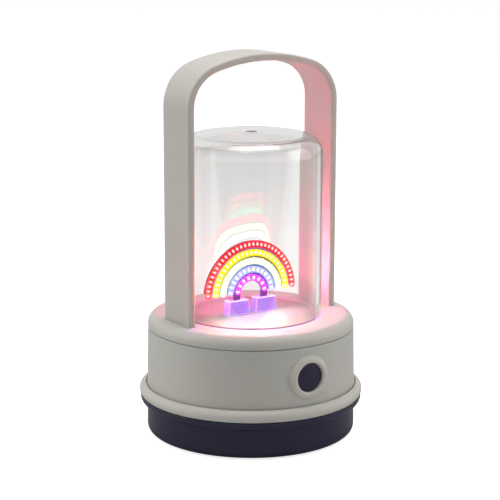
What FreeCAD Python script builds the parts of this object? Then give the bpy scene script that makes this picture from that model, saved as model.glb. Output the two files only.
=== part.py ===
import FreeCAD
import Part
import math
import os

# Battery lantern: a light-up rainbow stands on two clear sockets under a clear dome.
# The dome is trapped between a ring-shaped cap and a display floor on a drum-shaped housing.
# A strap handle arches over the dome, a push button sits in the front of the housing,
# and the dark base twists off on a bayonet to reach the cells.
# Millimetres. +Z is up, the lamp's axis is Z, the front faces -Y, Z = 0 is the table.

Vector = FreeCAD.Vector
ORIGIN = Vector(0, 0, 0)
UP = Vector(0, 0, 1)
FORWARD = Vector(0, -1, 0)
BACKWARD = Vector(0, 1, 0)

# Drum: housing and cap
body_margin = 7.4
body_draft = 0.55
housing_wall = 2.2
housing_height = 30.0
seam_gap = 0.3
cap_height = 5.5
cap_thickness = 2.4
cap_edge_round = 4.0
rabbet_depth = 3.4
rabbet_clearance = 0.12

# Flange bead round the foot of the housing
flange_reach = 3.35
bead_radius = 2.9
bead_drop = 1.95
notch_width = 0.7
notch_depth = 1.2
core_depth = 2.4
core_wall = 1.4

# Base cup and its bayonet
base_inset = 3.4
base_height = 16.6
base_wall = 2.4
base_floor = 2.4
base_round = 3.0
base_lip = 3.0
base_lip_edge = 0.7
base_rim_width = 9.0
base_recess = 1.0
base_gap = 0.3
foot_count = 4
foot_radius = 3.4
foot_height = 1.4
foot_stand = 0.5
foot_clearance = 0.1
spigot_wall = 2.0
spigot_depth = 8.6
spigot_clearance = 0.5
lug_count = 3
lug_depth = 1.7
lug_height = 2.6
lug_angle = 10.0
lug_drop = 3.6
lug_clearance = 0.3
twist_angle = 25.0
twist_slack = 0.8

# Dome
dome_radius = 30.7
dome_wall = 2.0
dome_height = 79.4
dome_shoulder = 8.0
dome_crown_radius = 290.0
dome_flange = 2.8
dome_flange_thickness = 1.6
dome_clearance = 0.3
gate_radius = 2.4
gate_depth = 0.35

# Display floor
floor_flange_thickness = 2.0
floor_margin = 2.4
floor_ring_wall = 2.0

# Strap handle
handle_gap = 0.9
handle_height = 113.6
handle_rise = 21.6
handle_corner = 18.6
handle_width = 21.0
handle_thickness = 3.2
handle_edge_round = 0.8
handle_foot = 5.6
handle_clearance = 0.15
barb_reach = 0.9
barb_height = 2.0
barb_width = 12.0

# Rainbow
rainbow_rise = 8.45
violet_radius = 7.0
tube_pitch = 3.7
tube_width = 3.1
tube_depth = 1.2
tube_edge_round = 0.7
tube_groove_width = 2.0
tube_groove_depth = 0.7
board_thickness = 1.0
board_lift = 1.3
chip_length = 1.6
chip_width = 1.0
chip_depth = 0.5
violet_chips = 8
blue_chips = 14
green_chips = 19
yellow_chips = 25
red_chips = 32

# Sockets and their contacts
socket_base_width = 11.1
socket_top_width = 9.7
socket_height = 6.25
socket_depth = 4.5
socket_sole = 1.0
socket_edge_round = 0.35
slot_clearance = 0.2
contact_width = 2.4
contact_thickness = 0.4
contact_reach = 4.0
peg_radius = 1.0
peg_length = 1.8
peg_offset = 3.7
peg_clearance = 0.08

# Push button and its raised ring
button_radius = 6.15
button_clearance = 0.15
button_travel = 1.5
button_sink = 0.8
button_crown = 0.5
button_edge_round = 0.4
button_flange = 1.2
button_flange_thickness = 1.2
button_flange_gap = 0.3
button_stem_radius = 2.0
ring_edge_round = 0.9
ring_side_round = 2.25
ring_stand = 1.15
ring_blend = 0.8

# Switch and driver board
switch_width = 8.0
switch_depth = 6.8
switch_chamfer = 0.8
switch_standoff = 3.0
plunger_radius = 1.7
plunger_clearance = 0.2
plunger_overlap = 1.4
board_width = 34.0
board_height = 18.6
driver_thickness = 1.6
driver_inset = 18.4
driver_slot_clearance = 0.15
driver_post_size = 4.6
driver_post_height = 12.0
parts_height = 11.2
driver_chip_length = 9.0
driver_chip_width = 5.0
driver_chip_height = 1.6
capacitor_offset = 8.5
capacitor_radius = 2.5
capacitor_length = 7.0

# Battery tray, cells and contacts
tray_drop = 7.1
tray_thickness = 2.0
tray_clearance = 0.4
cell_radius = 5.25
cell_length = 44.5
cell_nub_radius = 1.9
cell_nub_length = 0.9
cell_pitch = 11.6
cell_count = 3
cell_clearance = 0.25
cradle_roof = 0.6
cradle_side = 1.6
cradle_short = 1.5
end_wall = 1.8
end_wall_drop = 4.0
plate_thickness = 0.5
plate_height = 7.0
plate_width = 7.0
spring_reach = 1.8
spring_width = 3.6
spring_touch = 0.05
tab_width = 3.0
tab_height = 2.8
tab_clearance = 0.3

# Screws and their columns
screw_radius = 1.2
screw_head_radius = 2.3
screw_head_height = 1.6
screw_head_bevel = 0.8
screw_bite = 0.05
screw_pass = 0.25
column_radius = 3.3
column_web = 2.2
column_inset = 1.6
cap_screw_angles = (45.0, 135.0, 225.0, 315.0)
cap_screw_tip = 1.2
cap_column_length = 12.0
cap_column_seat = 4.0
tray_screw_angles = (20.0, 160.0, 200.0, 340.0)
tray_screw_length = 8.0
tray_column_length = 10.0

# Leads
lead_radius = 0.7
lead_straight = 9.0
lead_run_in = 6.0
lead_climb = 2.0
lead_entry = 2.5
lead_landing = 8.5
lead_bend_share = 0.45

# Cutters reach this far past the faces that they cut, and points this near count as the same
over = 1.0
tolerance = 0.01

# Heights and radii that follow from the sizes above
base_bottom = foot_stand
base_top = base_bottom + base_height
flange_bottom = base_top + base_gap
seam = flange_bottom + housing_height
deck = seam + cap_height
deck_under = deck - cap_thickness
dome_foot = deck_under - dome_flange_thickness
floor_under = dome_foot - floor_flange_thickness
housing_top = seam - seam_gap / 2
ledge = housing_top - rabbet_depth
bead_height = flange_bottom + bead_drop
notch_floor = bead_height + bead_radius - notch_depth
tray_top = flange_bottom + tray_drop
tray_under = tray_top - tray_thickness

handle_half_span = dome_radius + dome_flange + handle_gap + handle_thickness
body_radius = handle_half_span + body_margin
body_inner = body_radius - housing_wall
body_foot = body_radius + body_draft
flange_radius = body_foot + flange_reach
base_radius = flange_radius - base_inset
rabbet_radius = body_radius - housing_wall / 2
base_inner = base_radius - base_wall
base_rim_outer = base_radius - base_round
base_rim_inner = base_rim_outer - base_rim_width
foot_circle = (base_rim_outer + base_rim_inner) / 2
foot_angles = [(i + 0.5) * 360 / foot_count for i in range(foot_count)]
spigot_outer = base_inner - spigot_clearance
spigot_inner = spigot_outer - spigot_wall
spigot_bottom = flange_bottom - spigot_depth
lug_top = flange_bottom - lug_drop
dome_inner = dome_radius - dome_wall
cap_hole = dome_radius + dome_clearance
column_circle = body_inner - column_inset - column_radius
floor_radius = body_inner - floor_margin
tray_radius = spigot_inner - tray_clearance
tray_circle = tray_radius - column_radius

arc_height = deck + rainbow_rise
arc_centre = Vector(0, 0, arc_height)
blue_radius = violet_radius + tube_pitch
green_radius = blue_radius + tube_pitch
yellow_radius = green_radius + tube_pitch
red_radius = yellow_radius + tube_pitch
socket_top = deck + socket_height
leg_foot = deck + socket_sole
contact_back = board_thickness + contact_thickness

button_height = (notch_floor + seam) / 2
hole_radius = button_radius + button_clearance
ring_crest_radius = hole_radius + ring_edge_round
body_at_button = body_radius + body_draft * (seam - button_height) / (seam - notch_floor)
ring_crest = -(body_at_button + ring_stand)
ring_radius = ring_crest_radius + ring_side_round
button_face = ring_crest + button_sink
retainer_radius = button_radius + button_flange
button_flange_front = button_flange_gap - math.sqrt(body_inner ** 2 - retainer_radius ** 2)
button_flange_back = button_flange_front + button_flange_thickness
driver_front = driver_inset - body_radius
driver_back = driver_front + driver_thickness
switch_front = driver_front - switch_depth
plunger_front = switch_front - switch_standoff
plunger_back = switch_front + plunger_overlap

cell_axis = tray_under - cradle_roof - cell_radius
cell_rows = [(i - (cell_count - 1) / 2) * cell_pitch for i in range(cell_count)]
end_face = cell_length / 2 + spring_reach + plate_thickness
cradle_half_width = cell_rows[-1] + cell_radius + cell_clearance + cradle_side
tab_top = tray_top + tab_height


def at(radius, height):
    """Point of a turned profile."""
    return Vector(radius, 0, height)


def on_circle(centre, radius, degrees):
    """Point of a circle drawn in the XZ plane."""
    angle = math.radians(degrees)
    return centre + Vector(radius * math.cos(angle), 0, radius * math.sin(angle))


def bend(centre, radius, start, end):
    """Arc step of an outline, by its centre and angles."""
    return on_circle(centre, radius, (start + end) / 2), on_circle(centre, radius, end)


def outline(start, *steps):
    """Closed face. A step is a point for a straight edge, or a (through, end) pair for an arc."""
    edges = []
    here = start
    for step in steps:
        if isinstance(step, tuple):
            edges.append(Part.Arc(here, step[0], step[1]).toShape())
            here = step[1]
        else:
            edges.append(Part.makeLine(here, step))
            here = step
    edges.append(Part.makeLine(here, start))
    return Part.Face(Part.Wire(edges))


def turned(face):
    """Solid of revolution about the lamp's axis."""
    return face.revolve(ORIGIN, UP, 360)


def sector(inner, outer, low, high, start, end):
    """Piece of a ring between two angles."""
    face = outline(at(inner, low), at(outer, low), at(outer, high), at(inner, high))
    face.rotate(ORIGIN, UP, start)
    return face.revolve(ORIGIN, UP, end - start)


def block(low, high):
    """Box between two opposite corners."""
    size = high - low
    return Part.makeBox(size.x, size.y, size.z, low)


def around(angle, radius, height=0.0):
    """Point at an angle about the lamp's axis."""
    turn = math.radians(angle)
    return Vector(radius * math.cos(turn), radius * math.sin(turn), height)


def softened(radius):
    """Distance from a square corner's sides to the middle of the arc that rounds it."""
    return radius * (1 - math.sqrt(0.5))


def rod(radius, start, length, direction=UP):
    return Part.makeCylinder(radius, length, start, direction)


def joined(shapes):
    """One solid from overlapping or touching shapes."""
    whole = shapes[0].fuse(shapes[1:])
    return whole.removeSplitter()


def screw(foot, seat, tip):
    """Pan-head screw along Z, head down: foot is a point on its axis, seat the head's bearing face."""
    head_under = seat - screw_head_height
    whole = turned(outline(
        at(0, head_under),
        at(screw_head_radius - screw_head_bevel, head_under),
        at(screw_head_radius, head_under + screw_head_bevel),
        at(screw_head_radius, seat),
        at(screw_radius, seat),
        at(screw_radius, tip),
        at(0, tip)))
    whole.translate(Vector(foot.x, foot.y, 0))
    return whole


def column(angle, circle, low, high):
    """Screw column with a web that ties it to the housing wall."""
    post = rod(column_radius, around(angle, circle, low), high - low)
    web = block(Vector(circle, -column_web / 2, low),
                Vector(body_inner + housing_wall / 2, column_web / 2, high))
    web.rotate(ORIGIN, UP, angle)
    return joined([post, web])


def make_base_cup():
    """Twist-off base: a cup with a rounded foot, a bead under its lip and three bayonet lugs inside."""
    recess = base_bottom + base_recess
    floor_top = recess + base_floor
    lip_under = base_top - base_lip_edge - base_lip
    cup = turned(outline(
        at(0, recess),
        at(base_rim_inner, recess),
        at(base_rim_inner, base_bottom),
        at(base_rim_outer, base_bottom),
        bend(at(base_rim_outer, base_bottom + base_round), base_round, -90, 0),
        at(base_radius, lip_under),
        bend(at(base_radius, lip_under + base_lip), base_lip, -90, 0),
        at(base_radius + base_lip, base_top),
        at(base_inner, base_top),
        at(base_inner, floor_top),
        at(0, floor_top)))
    lugs = []
    for i in range(lug_count):
        middle = i * 360 / lug_count
        lugs.append(sector(base_inner - lug_depth, base_inner + base_wall / 2, lug_top - lug_height, lug_top,
                           middle - lug_angle / 2, middle + lug_angle / 2))
    pockets = [rod(foot_radius + foot_clearance, around(angle, foot_circle), foot_height)
               for angle in foot_angles]
    return joined([cup] + lugs).cut(pockets)


def make_rubber_feet():
    """Round pads let into the underside of the base, on which the lamp stands."""
    return Part.makeCompound([rod(foot_radius, around(angle, foot_circle), foot_height)
                              for angle in foot_angles])


def make_housing():
    """Drum with the flange bead, bayonet spigot, screw columns, button hole and raised ring."""
    bead = at(flange_radius - bead_radius, bead_height)
    bead_low = -math.degrees(math.asin(bead_drop / bead_radius))
    bead_high = math.degrees(math.acos((body_foot + notch_width - bead.x) / bead_radius))
    core_inner = base_inner + lug_clearance
    core_outer = flange_radius - bead_radius - core_wall / 2
    drum = turned(outline(
        at(spigot_inner, spigot_bottom),
        at(spigot_outer, spigot_bottom),
        at(spigot_outer, flange_bottom),
        at(core_inner, flange_bottom),
        at(core_inner, flange_bottom + core_depth),
        at(core_outer, flange_bottom + core_depth),
        at(core_outer, flange_bottom),
        on_circle(bead, bead_radius, bead_low),
        bend(bead, bead_radius, bead_low, bead_high),
        at(body_foot + notch_width, notch_floor),
        at(body_foot, notch_floor),
        at(body_radius, housing_top),
        at(rabbet_radius, housing_top),
        at(rabbet_radius, ledge),
        at(body_inner, ledge),
        at(body_inner, tray_top),
        at(spigot_inner, tray_under)))
    shell = joined([drum, make_button_ring()])
    shell = shell.makeFillet(ring_blend, [edge for edge in shell.Edges if is_ring_foot(edge)])
    columns = [column(angle, column_circle, floor_under - cap_column_length, floor_under)
               for angle in cap_screw_angles]
    columns += [column(angle, tray_circle, tray_top, tray_top + tray_column_length)
                for angle in tray_screw_angles]
    shell = joined([shell] + columns)
    cuts = [rod(hole_radius, Vector(0, ring_crest, button_height), -ring_crest - body_inner / 2, BACKWARD)]
    rabbet_space = rod(rabbet_radius, Vector(0, 0, ledge), seam - ledge)
    cuts.append(rabbet_space.cut(rod(body_inner - rabbet_clearance, Vector(0, 0, ledge), seam - ledge)))
    for angle in cap_screw_angles:
        spot = around(angle, column_circle, floor_under - cap_column_length)
        cuts.append(rod(screw_radius + screw_pass, spot, cap_column_length))
        cuts.append(rod(screw_head_radius + screw_pass, spot, cap_column_length - cap_column_seat))
    for angle in tray_screw_angles:
        cuts.append(rod(screw_radius + screw_bite, around(angle, tray_circle, tray_top), tray_screw_length))
    for i in range(lug_count):
        start = i * 360 / lug_count - lug_angle / 2 - twist_slack
        entry = start + twist_angle
        end = entry + lug_angle + 2 * twist_slack
        slot_top = lug_top + lug_clearance
        slot_low = lug_top - lug_height - lug_clearance
        for low, first in ((slot_low, start), (spigot_bottom - over, entry)):
            cuts.append(sector(spigot_inner - over, spigot_outer + over, low, slot_top, first, end))
    return shell.cut(cuts)


def make_button_ring():
    """Soft raised ring round the button hole, rooted in the drum's wall."""
    root = -body_inner - housing_wall / 4

    def spot(radius, depth):
        return Vector(radius, depth, button_height)

    face = outline(
        spot(hole_radius, root),
        spot(hole_radius, ring_crest + ring_edge_round),
        (spot(hole_radius + softened(ring_edge_round), ring_crest + softened(ring_edge_round)),
         spot(ring_crest_radius, ring_crest)),
        (spot(ring_radius - softened(ring_side_round), ring_crest + softened(ring_side_round)),
         spot(ring_radius, ring_crest + ring_side_round)),
        spot(ring_radius, root))
    return face.revolve(Vector(0, 0, button_height), BACKWARD, 360)


def is_ring_foot(edge):
    """True for the edges where the raised ring meets the outside of the drum."""
    middle = edge.valueAt((edge.FirstParameter + edge.LastParameter) / 2)
    from_button = math.hypot(middle.x, middle.z - button_height)
    from_axis = math.hypot(middle.x, middle.y)
    beside_ring = ring_crest_radius + tolerance < from_button < ring_radius + tolerance
    return beside_ring and middle.y < 0 and body_radius - tolerance < from_axis < body_foot + tolerance


def make_cap():
    """Ring-shaped cap with a rounded edge, a rabbet lip, handle slots and screw bosses."""
    lip_outer = rabbet_radius - rabbet_clearance
    cap = turned(outline(
        at(cap_hole, deck_under),
        at(cap_hole, deck),
        at(body_radius - cap_edge_round, deck),
        bend(at(body_radius - cap_edge_round, deck - cap_edge_round), cap_edge_round, 90, 0),
        at(body_radius, seam + seam_gap / 2),
        at(lip_outer, seam + seam_gap / 2),
        at(lip_outer, ledge),
        at(body_inner, ledge),
        at(body_inner, deck_under)))
    boss_feet = [around(angle, column_circle, dome_foot) for angle in cap_screw_angles]
    boss_height = dome_flange_thickness + cap_thickness / 2
    cap = joined([cap] + [rod(column_radius, foot, boss_height) for foot in boss_feet])
    pilot_depth = deck - cap_screw_tip - dome_foot
    cuts = [rod(screw_radius + screw_bite, foot, pilot_depth) for foot in boss_feet]
    for side in (-1, 1):
        slot = block(Vector(handle_half_span - handle_thickness - handle_clearance,
                            -handle_width / 2 - handle_clearance, deck_under - over),
                     Vector(handle_half_span + handle_clearance,
                            handle_width / 2 + handle_clearance, deck + over))
        cuts.append(slot if side > 0 else slot.mirror(ORIGIN, Vector(1, 0, 0)))
    return cap.cut(cuts)


def arch_radius(corner_x, corner, rise):
    """Radius of the top arc that runs smoothly into the two corner arcs of the handle."""
    return (corner_x ** 2 + rise ** 2 - corner ** 2) / (2 * (rise - corner))


def arch_edges(half_span, corner, foot, spring, top_radius, top):
    """Steps of one side of the strap, from the right foot over the top to the left foot."""
    corner_x = half_span - corner
    right = at(corner_x, spring)
    left = at(-corner_x, spring)
    crown = at(0, top - top_radius)
    turn = math.degrees(math.atan2(spring - crown.z, corner_x))
    return [at(half_span, foot), at(half_span, spring), bend(right, corner, 0, turn),
            bend(crown, top_radius, turn, 180 - turn), bend(left, corner, 180 - turn, 180),
            at(-half_span, foot)]


def make_handle():
    """Strap handle: a three-centred arch of constant thickness with barbed feet."""
    top = deck + handle_height
    spring = top - handle_rise
    foot = deck_under - handle_foot
    top_radius = arch_radius(handle_half_span - handle_corner, handle_corner, top - spring)
    outer = arch_edges(handle_half_span, handle_corner, foot, spring, top_radius, top)
    inner = arch_edges(handle_half_span - handle_thickness, handle_corner - handle_thickness, foot, spring,
                       top_radius - handle_thickness, top - handle_thickness)
    edges = []
    for steps in (outer, inner):
        here = steps[0]
        for step in steps[1:]:
            if isinstance(step, tuple):
                edges.append(Part.Arc(here, step[0], step[1]).toShape())
                here = step[1]
            else:
                edges.append(Part.makeLine(here, step))
                here = step
    edges.append(Part.makeLine(outer[0], inner[0]))
    edges.append(Part.makeLine(outer[-1], inner[-1]))
    face = Part.Face(Part.Wire(Part.__sortEdges__(edges)))
    strap = face.extrude(Vector(0, handle_width, 0))
    strap.translate(Vector(0, -handle_width / 2, 0))
    boxes = [(edge, edge.BoundBox) for edge in strap.Edges]
    long_edges = [edge for edge, box in boxes if box.YLength < tolerance and box.ZMax > deck]
    strap = strap.makeFillet(handle_edge_round, long_edges)
    barb = outline(at(handle_half_span - handle_thickness / 2, deck_under),
                   at(handle_half_span + barb_reach, deck_under),
                   at(handle_half_span, deck_under - barb_height),
                   at(handle_half_span - handle_thickness / 2, deck_under - barb_height))
    barb = barb.extrude(Vector(0, barb_width, 0))
    barb.translate(Vector(0, -barb_width / 2, 0))
    return joined([strap, barb, barb.mirror(ORIGIN, Vector(1, 0, 0))])


def dome_surface(inset):
    """Shoulder and crown points of the dome, moved inwards by a wall."""
    shoulder_x = dome_radius - dome_shoulder
    crown = at(0, deck + dome_height - dome_crown_radius)
    shoulder_z = crown.z + math.sqrt((dome_crown_radius - dome_shoulder) ** 2 - shoulder_x ** 2)
    shoulder = at(shoulder_x, shoulder_z)
    turn = math.degrees(math.atan2(shoulder_z - crown.z, shoulder_x))
    return shoulder, dome_shoulder - inset, crown, dome_crown_radius - inset, turn


def make_dome():
    """Clear moulded dome with a foot flange and a gate mark at the crown."""
    shoulder, outer_round, crown, outer_crown, turn = dome_surface(0)
    inner_round, inner_crown = dome_surface(dome_wall)[1::2]
    dome = turned(outline(
        at(dome_inner, dome_foot),
        at(dome_radius + dome_flange, dome_foot),
        at(dome_radius + dome_flange, deck_under),
        at(dome_radius, deck_under),
        at(dome_radius, shoulder.z),
        bend(shoulder, outer_round, 0, turn),
        bend(crown, outer_crown, turn, 90),
        on_circle(crown, inner_crown, 90),
        bend(crown, inner_crown, 90, turn),
        bend(shoulder, inner_round, turn, 0)))
    gate = rod(gate_radius, Vector(0, 0, deck + dome_height - gate_depth), 2 * gate_depth)
    return dome.cut(gate)


def make_display_floor():
    """Display floor: a shallow top hat inside the dome whose brim clamps the dome's flange from below."""
    plug = dome_inner - dome_clearance
    floor = turned(outline(
        at(0, deck_under),
        at(plug - floor_ring_wall, deck_under),
        at(plug - floor_ring_wall, floor_under),
        at(floor_radius, floor_under),
        at(floor_radius, dome_foot),
        at(plug, dome_foot),
        at(plug, deck),
        at(0, deck)))
    cuts = [rod(screw_radius + screw_pass, around(angle, column_circle, floor_under), floor_flange_thickness)
            for angle in cap_screw_angles]
    for side in (-1, 1):
        notch = block(Vector(handle_half_span - handle_thickness - handle_clearance,
                             -handle_width / 2 - handle_clearance, floor_under - over),
                      Vector(body_radius, handle_width / 2 + handle_clearance, dome_foot + over))
        cuts.append(notch if side > 0 else notch.mirror(ORIGIN, Vector(1, 0, 0)))
        middle = side * violet_radius
        cuts.append(contact_slot(middle, deck_under))
        for offset in (-peg_offset, peg_offset):
            foot = Vector(middle + offset, 0, deck_under)
            cuts.append(rod(peg_radius + peg_clearance, foot, cap_thickness))
    return floor.cut(cuts)


def contact_slot(middle, low):
    """Slot that a socket contact drops through, from a height up into the socket."""
    half = contact_width / 2 + slot_clearance
    return block(Vector(middle - half, board_thickness - slot_clearance, low),
                 Vector(middle + half, contact_back + slot_clearance, leg_foot))


def tube_section(radius, full):
    """Section of a light tube at its right end: rounded front, channel in the back for the chips."""
    outer = tube_width / 2
    front = -tube_depth
    crease = -tube_depth + tube_edge_round
    channel = -tube_groove_depth
    soft = softened(tube_edge_round)

    def spot(across, depth):
        return Vector(radius + across, depth, arc_height)

    groove = tube_groove_width / 2
    right = [spot(groove, 0), spot(outer, 0), spot(outer, crease),
             (spot(outer - soft, front + soft), spot(outer - tube_edge_round, front))]
    if full:
        left = [spot(tube_edge_round - outer, front),
                (spot(soft - outer, front + soft), spot(-outer, crease)),
                spot(-outer, 0), spot(-groove, 0), spot(-groove, channel), spot(groove, channel)]
    else:
        left = [spot(0, front), spot(0, channel), spot(groove, channel)]
    return outline(right[0], *right[1:], *left)


def end_angle(radius):
    """Angle from the level line to the centre of a tube's rounded end."""
    return math.degrees(math.asin(tube_width / 2 / radius))


def make_tube(radius):
    """Arched light tube with rounded ends."""
    start = end_angle(radius)
    section = tube_section(radius, True)
    section.rotate(arc_centre, FORWARD, start)
    pieces = [section.revolve(arc_centre, FORWARD, 180 - 2 * start)]
    half = tube_section(radius, False)
    end_point = Vector(radius, 0, arc_height)
    right = half.revolve(end_point, BACKWARD, 180)
    right.rotate(arc_centre, FORWARD, start)
    pieces.append(right)
    pieces.append(right.mirror(ORIGIN, Vector(1, 0, 0)))
    return joined(pieces)


def make_chips():
    """Rows of light chips on the front of the board, turned to follow each arch."""
    rows = ((violet_radius, violet_chips), (blue_radius, blue_chips), (green_radius, green_chips),
            (yellow_radius, yellow_chips), (red_radius, red_chips))
    chips = []
    for radius, count in rows:
        start = end_angle(radius)
        step = (180 - 2 * start) / (count - 1)
        for i in range(count):
            chip = block(Vector(radius - chip_length / 2, -chip_depth, arc_height - chip_width / 2),
                         Vector(radius + chip_length / 2, 0, arc_height + chip_width / 2))
            chip.rotate(arc_centre, FORWARD, start + i * step)
            chips.append(chip)
    return Part.makeCompound(chips)


def make_rainbow_board():
    """Half-ring circuit board with two legs that plug into the sockets."""
    outer = red_radius + tube_width / 2
    inner = violet_radius - tube_width / 2
    low = arc_height + board_lift
    outer_turn = math.degrees(math.asin(board_lift / outer))
    inner_turn = math.degrees(math.asin(board_lift / inner))
    face = outline(
        on_circle(arc_centre, outer, outer_turn),
        bend(arc_centre, outer, outer_turn, 180 - outer_turn),
        at(-violet_radius - tube_width / 2, low),
        at(-violet_radius - tube_width / 2, leg_foot),
        at(-inner, leg_foot),
        at(-inner, arc_height),
        on_circle(arc_centre, inner, 180 - inner_turn),
        bend(arc_centre, inner, 180 - inner_turn, inner_turn),
        at(inner, arc_height),
        at(inner, leg_foot),
        at(violet_radius + tube_width / 2, leg_foot),
        at(violet_radius + tube_width / 2, low))
    return face.extrude(Vector(0, board_thickness, 0))


def make_socket(side):
    """Clear socket: a tapered block with a slot for a board leg and two pegs under it."""
    middle = side * violet_radius
    front = board_thickness / 2 - socket_depth / 2
    face = outline(at(middle - socket_base_width / 2, deck),
                   at(middle + socket_base_width / 2, deck),
                   at(middle + socket_top_width / 2, socket_top),
                   at(middle - socket_top_width / 2, socket_top))
    body = face.extrude(Vector(0, socket_depth, 0))
    body.translate(Vector(0, front, 0))
    upper_edges = [edge for edge in body.Edges if edge.BoundBox.ZMax > deck + socket_height / 2]
    body = body.makeFillet(socket_edge_round, upper_edges)
    pegs = [rod(peg_radius, Vector(middle + offset, 0, deck - peg_length), peg_length + socket_sole / 2)
            for offset in (-peg_offset, peg_offset)]
    body = joined([body] + pegs)
    half = tube_width / 2 + slot_clearance
    slot = block(Vector(middle - half, -slot_clearance, leg_foot),
                 Vector(middle + half, contact_back + slot_clearance, socket_top + over))
    return body.cut([slot, contact_slot(middle, deck - over)])


def make_socket_contacts():
    """Contact strips behind the board legs, with tails through the display floor."""
    strips = []
    for side in (-1, 1):
        middle = side * violet_radius
        strips.append(block(Vector(middle - contact_width / 2, board_thickness, dome_foot),
                            Vector(middle + contact_width / 2, contact_back, leg_foot + contact_reach)))
    return Part.makeCompound(strips)


def make_button():
    """Push button: a crowned disc, a retaining flange behind the wall and a stem to the switch."""
    edge_y = button_face + button_crown
    soft = softened(button_edge_round)

    def spot(radius, depth):
        return Vector(radius, depth, button_height)

    face = outline(
        spot(0, button_face),
        (spot((button_radius - button_edge_round) / 2, button_face + button_crown / 4),
         spot(button_radius - button_edge_round, edge_y)),
        (spot(button_radius - soft, edge_y + soft), spot(button_radius, edge_y + button_edge_round)),
        spot(button_radius, button_flange_front),
        spot(retainer_radius, button_flange_front),
        spot(retainer_radius, button_flange_back),
        spot(button_stem_radius, button_flange_back),
        spot(button_stem_radius, plunger_front),
        spot(0, plunger_front))
    return face.revolve(Vector(0, 0, button_height), BACKWARD, 360)


def make_switch_plunger():
    tip = Vector(0, plunger_front, button_height)
    return rod(plunger_radius, tip, plunger_back - plunger_front, BACKWARD)


def make_switch_body():
    """Switch case on the driver board, bored for its plunger."""
    half = switch_width / 2
    case = block(Vector(-half, switch_front, button_height - half),
                 Vector(half, driver_front, button_height + half))
    corners = [edge for edge in case.Edges if edge.BoundBox.YLength > switch_depth / 2]
    case = case.makeChamfer(switch_chamfer, corners)
    bore_depth = plunger_overlap + button_travel + button_flange_gap
    mouth = Vector(0, switch_front, button_height)
    return case.cut(rod(plunger_radius + plunger_clearance, mouth, bore_depth, BACKWARD))


def make_driver_board():
    half = board_width / 2
    return block(Vector(-half, driver_front, tray_top), Vector(half, driver_back, tray_top + board_height))


def make_board_parts():
    """Driver chip and capacitor on the back of the driver board."""
    middle = tray_top + parts_height
    chip = block(Vector(-driver_chip_length, driver_back, middle - driver_chip_width / 2),
                 Vector(0, driver_back + driver_chip_height, middle + driver_chip_width / 2))
    can = rod(capacitor_radius, Vector(capacitor_offset, driver_back, middle), capacitor_length, BACKWARD)
    return Part.makeCompound([chip, can])


def make_battery_tray():
    """Round tray: the cells nest in saddles under it, the driver board stands in slotted posts on it."""
    cradle_low = cell_axis + cradle_short
    wall_low = cell_axis - end_wall_drop
    outer = end_face + end_wall
    plate = rod(tray_radius, Vector(0, 0, tray_under), tray_thickness)
    cradle = block(Vector(-end_face, -cradle_half_width, cradle_low),
                   Vector(end_face, cradle_half_width, tray_under))
    pieces = [plate, cradle]
    for side in (-1, 1):
        near, far = sorted((side * end_face, side * outer))
        pieces.append(block(Vector(near, -cradle_half_width, wall_low),
                            Vector(far, cradle_half_width, tray_under)))
        edge = side * board_width / 2
        half = driver_post_size / 2
        pieces.append(block(Vector(edge - half, driver_front - half, tray_top),
                            Vector(edge + half, driver_back + half, tray_top + driver_post_height)))
    tray = joined(pieces)
    nest_radius = cell_radius + cell_clearance
    cuts = [rod(nest_radius, Vector(-end_face, row, cell_axis), 2 * end_face, Vector(1, 0, 0))
            for row in cell_rows]
    half = board_width / 2 + driver_slot_clearance
    cuts.append(block(Vector(-half, driver_front - driver_slot_clearance, tray_top),
                      Vector(half, driver_back + driver_slot_clearance, tray_top + board_height)))
    for angle in tray_screw_angles:
        cuts.append(rod(screw_radius + screw_pass, around(angle, tray_circle, tray_under), tray_thickness))
    for side, row in terminals():
        cuts.append(tab_space(side, row, tab_clearance))
    for side in (-1, 1):
        near, far = sorted((side * cell_length / 2, side * end_face))
        cuts.append(block(Vector(near, -cradle_half_width + cradle_side, wall_low),
                          Vector(far, cradle_half_width - cradle_side, tray_under)))
    return tray.cut(cuts)


def terminals():
    """End and row of the two cell contacts that the leads are soldered to."""
    last_side = 1 if cell_count % 2 == 1 else -1
    return (-1, cell_rows[0]), (last_side, cell_rows[-1])


def tab_space(side, row, clearance):
    """Solder tab that rises from a contact plate through the tray."""
    near, far = sorted((side * (end_face - plate_thickness - clearance), side * (end_face + clearance)))
    half = tab_width / 2 + clearance
    return block(Vector(near, row - half, cell_axis), Vector(far, row + half, tab_top + clearance))


def make_battery_contacts():
    """Contact plates at both ends of the cells, with a pressed boss or a bowed leaf for each cell."""
    inner = end_face - plate_thickness
    reach = spring_reach - spring_touch
    plates = []
    for side in (-1, 1):
        first_pair = 0 if side > 0 else -1
        for first in range(first_pair, cell_count, 2):
            rows = cell_rows[max(first, 0):first + 2]
            near, far = sorted((side * inner, side * end_face))
            pieces = [block(Vector(near, rows[0] - plate_width / 2, cell_axis - plate_height / 2),
                            Vector(far, rows[-1] + plate_width / 2, cell_axis + plate_height / 2))]
            for row in rows:
                positive = (cell_rows.index(row) % 2 == 0) == (side > 0)
                start = Vector(side * inner, row, cell_axis)
                inward = Vector(-side, 0, 0)
                if positive:
                    pieces.append(rod(cell_nub_radius, start, reach, inward))
                else:
                    pieces.append(bowed_leaf(side * inner, -side * reach, row))
            if (side, rows[0]) in terminals() or (side, rows[-1]) in terminals():
                row = rows[0] if (side, rows[0]) in terminals() else rows[-1]
                pieces.append(tab_space(side, row, 0))
            plates.append(joined(pieces))
    return Part.makeCompound(plates)


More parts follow.
